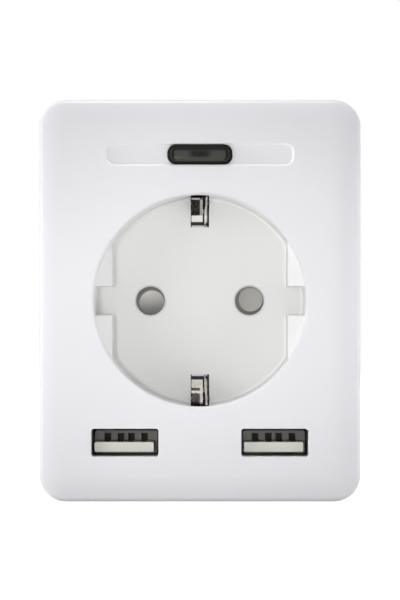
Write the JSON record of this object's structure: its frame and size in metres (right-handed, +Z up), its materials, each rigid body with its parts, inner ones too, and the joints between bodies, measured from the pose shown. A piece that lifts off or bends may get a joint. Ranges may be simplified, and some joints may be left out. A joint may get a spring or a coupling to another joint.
{
  "type": "plug-in socket adapter",
  "caption": "White plug-in wall adapter with a keyed round earthed socket, child-safety shutter, push button and charging ports in front and a round-pin earthed plug behind.",
  "frame": {"origin": "where the plug's axis meets the wall, in the plane of the rear face", "axes": "+X to the right seen from the front, +Y into the wall, +Z up"},
  "size_m": [0.06, 0.0783, 0.075],
  "materials": {
    "shell_white": "fine satin moulding",
    "cup_white": "satin moulding",
    "shutter_grey": "satin moulding",
    "spring_steel": "bright drawn wire",
    "carrier_black": "dull moulding",
    "contact_brass": "stamped strip",
    "clip_nickel": "nickel plated stamping",
    "button_smoke": "smoked satin moulding",
    "plunger_tan": "dull moulding",
    "led_ivory": "moulded lens",
    "board_green": "solder mask",
    "board_black": "solder mask",
    "port_steel": "plated sheet",
    "tongue_white": "dull moulding",
    "contact_gold": "gold flash",
    "relay_blue": "dull moulding",
    "core_grey": "ferrite",
    "can_dark": "sleeved can",
    "fuse_brown": "dull moulding",
    "disc_blue": "dipped epoxy",
    "shunt_alloy": "bare strip",
    "pin_nickel": "nickel plated turning",
    "screw_zinc": "zinc plated"
  },
  "bodies": {
    "housing": {"front_cover": "shell_white", "rear_housing": "shell_white", "socket_cup": "cup_white", "plug_body": "cup_white", "shutter_spring": "spring_steel", "contact_carrier": "carrier_black", "switch_body": "carrier_black", "metering_chip": "carrier_black", "live_contact": "contact_brass", "neutral_contact": "contact_brass", "earth_bridge": "contact_brass", "live_feed_bar": "contact_brass", "live_out_bar": "contact_brass", "neutral_bar": "contact_brass", "earth_clip_upper": "clip_nickel", "earth_clip_lower": "clip_nickel", "plug_earth_upper": "clip_nickel", "plug_earth_lower": "clip_nickel", "status_led": "led_ivory", "button_board": "board_green", "main_board": "board_green", "usb_board": "board_black", "usb_shell_left": "port_steel", "usb_shell_right": "port_steel", "usb_tongue_left": "tongue_white", "usb_tongue_right": "tongue_white", "usb_contacts_left": "contact_gold", "usb_contacts_right": "contact_gold", "relay": "relay_blue", "transformer": "core_grey", "filter_capacitors": "can_dark", "fuse": "fuse_brown", "varistor": "disc_blue", "metering_shunt": "shunt_alloy", "plug_pin_live": "pin_nickel", "plug_pin_neutral": "pin_nickel", "case_screws": "screw_zinc", "carrier_screws": "screw_zinc", "board_screws": "screw_zinc"},
    "button": {"power_button": "button_smoke"},
    "plunger": {"switch_plunger": "plunger_tan"},
    "shutter": {"shutter": "shutter_grey"}
  },
  "joints": [
    {"name": "button_press", "type": "slide", "parent": "housing", "child": "button", "axis": [0, 1, 0], "range_m": [0, 0.0004], "stiffness_N_per_m": 1000, "springref_m": -0.0004},
    {"name": "plunger_press", "type": "slide", "parent": "housing", "child": "plunger", "axis": [0, 1, 0], "range_m": [0, 0.0004]},
    {"name": "shutter_turn", "type": "hinge", "parent": "housing", "child": "shutter", "pos_m": [0, -0.0208, 0], "axis": [0, -1, 0], "range_deg": [0, 40], "stiffness_Nm_per_rad": 0.002, "springref_deg": -28.65, "deforming": ["shutter_spring"]}
  ],
  "couplings": [
    {"joint": "plunger_press", "follows": "button_press", "ratio": 1}
  ]
}
